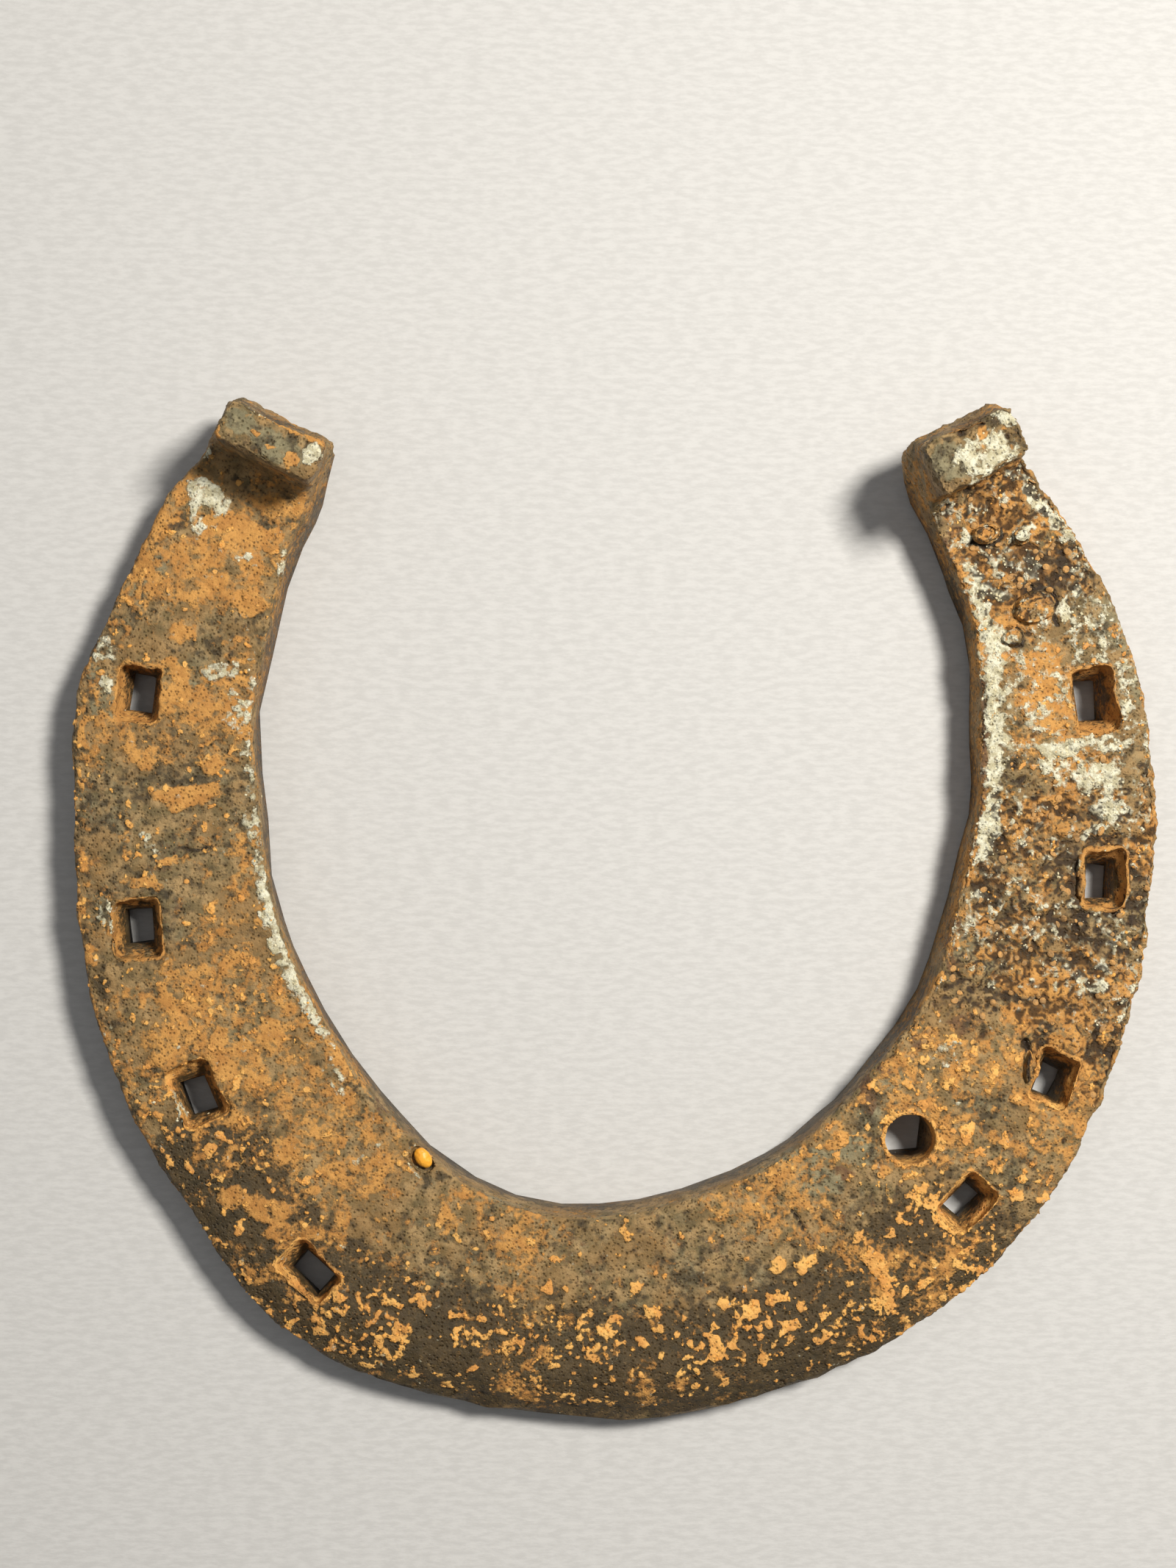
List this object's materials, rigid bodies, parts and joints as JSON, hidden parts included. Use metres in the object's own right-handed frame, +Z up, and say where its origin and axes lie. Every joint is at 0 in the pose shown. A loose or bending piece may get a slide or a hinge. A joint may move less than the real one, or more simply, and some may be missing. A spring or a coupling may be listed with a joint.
{
  "type": "horseshoe",
  "caption": "Hand-forged iron horseshoe with turned heel calks, punched nail holes, a round drilled hole and heavy rust.",
  "frame": {"origin": "middle of the shoe's box, on the hoof face that it lies on", "axes": "+Z up out of the ground face, which the calks stand on; +Y to the heels; -Y to the toe; +X to the branch with the round hole"},
  "size_m": [0.1422, 0.1334, 0.0206],
  "materials": {
    "rusted_iron": "rough pitted rust, olive-brown with orange bloom and lime crust",
    "rust_scale": "flaking rust scale",
    "amber_grit": "smooth waxy grain"
  },
  "bodies": {
    "root": {"forged_shoe": "rusted_iron", "lodged_grain": "amber_grit", "heel_scale_plate": "rust_scale", "heel_ring_blister": "rust_scale", "heel_white_blister": "rust_scale", "quarter_blister": "rust_scale", "nail_hole_flake": "rust_scale"}
  },
  "joints": []
}
